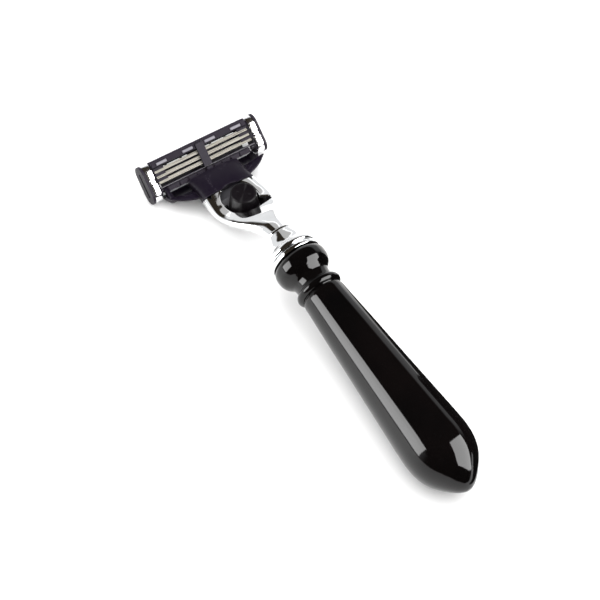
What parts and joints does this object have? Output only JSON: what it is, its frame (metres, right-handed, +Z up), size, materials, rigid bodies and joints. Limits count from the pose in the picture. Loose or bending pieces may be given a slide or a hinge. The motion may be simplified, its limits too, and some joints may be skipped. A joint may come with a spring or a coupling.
{
  "type": "cartridge razor",
  "caption": "Classic-handled cartridge razor: turned resin grip, chrome head with a release button, pivoting blade cartridge.",
  "frame": {"origin": "centre of the footprint, on the surface the razor lies on", "axes": "+Y from the pommel to the blades, +Z up with the blades and the button uppermost, +X to the right"},
  "size_m": [0.0424, 0.1466, 0.0234],
  "materials": {
    "grip_resin": "polished cast resin",
    "chrome": "mirror-polished chrome plate",
    "brass": "machined",
    "plated_steel": "zinc plated",
    "spring_steel": "drawn wire",
    "button_plastic": "satin moulded",
    "ejector_acetal": "moulded acetal",
    "boss_acetal": "moulded acetal",
    "plunger_acetal": "moulded acetal",
    "connector_plastic": "semi-gloss moulded",
    "housing_plastic": "semi-gloss moulded",
    "cap_plastic": "semi-gloss moulded",
    "guard_rubber": "soft moulded",
    "strip_polymer": "dry lubricating strip",
    "clip_metal": "rolled bright aluminium",
    "blade_steel": "ground and coated",
    "support_steel": "stamped"
  },
  "bodies": {
    "handle": {"handle_grip": "grip_resin", "threaded_insert": "brass", "neck_stud": "plated_steel", "collar_ring": "chrome", "collar": "chrome", "head_casting": "chrome", "docking_boss": "boss_acetal", "button_spring": "spring_steel", "plunger_spring": "spring_steel"},
    "button": {"release_button": "button_plastic", "ejector": "ejector_acetal"},
    "plunger": {"plunger": "plunger_acetal"},
    "connector": {"connector": "connector_plastic"},
    "cartridge": {"cartridge_frame": "housing_plastic", "guard_fins": "guard_rubber", "cap": "cap_plastic", "lubricating_strip": "strip_polymer", "clip_left": "clip_metal", "clip_right": "clip_metal"},
    "blade_1": {"blade_1": "blade_steel", "blade_support_1": "support_steel"},
    "blade_2": {"blade_2": "blade_steel", "blade_support_2": "support_steel"},
    "blade_3": {"blade_3": "blade_steel", "blade_support_3": "support_steel"}
  },
  "joints": [
    {"name": "button_slide", "type": "slide", "parent": "handle", "child": "button", "axis": [0, 0.9989, -0.0462], "range_m": [0, 0.0028], "stiffness_N_per_m": 150, "springref_m": -0.002, "deforming": ["button_spring"]},
    {"name": "cartridge_dock", "type": "slide", "parent": "button", "child": "connector", "axis": [0, 0.9989, -0.0462], "range_m": [0, 0.012], "stiffness_N_per_m": 20, "springref_m": -0.002},
    {"name": "cartridge_pivot", "type": "hinge", "parent": "connector", "child": "cartridge", "pos_m": [0, 0.06374, 0.00514], "axis": [1, 0, 0], "range_deg": [-41, 0], "stiffness_Nm_per_rad": 0.005, "springref_deg": 17.19},
    {"name": "plunger_slide", "type": "slide", "parent": "handle", "child": "plunger", "axis": [0, 0.9989, -0.0462], "range_m": [-0.0016, 0], "deforming": ["plunger_spring"]},
    {"name": "blade_1_float", "type": "slide", "parent": "cartridge", "child": "blade_1", "axis": [0, -0.5857, 0.8106], "range_m": [-0.00035, 0], "stiffness_N_per_m": 100, "springref_m": 0.0004},
    {"name": "blade_2_float", "type": "slide", "parent": "cartridge", "child": "blade_2", "axis": [0, -0.5857, 0.8106], "range_m": [-0.00035, 0], "stiffness_N_per_m": 100, "springref_m": 0.0004},
    {"name": "blade_3_float", "type": "slide", "parent": "cartridge", "child": "blade_3", "axis": [0, -0.5857, 0.8106], "range_m": [-0.00035, 0], "stiffness_N_per_m": 100, "springref_m": 0.0004}
  ],
  "couplings": [
    {"joint": "plunger_slide", "follows": "cartridge_pivot", "m_per_rad": 0.0022}
  ]
}
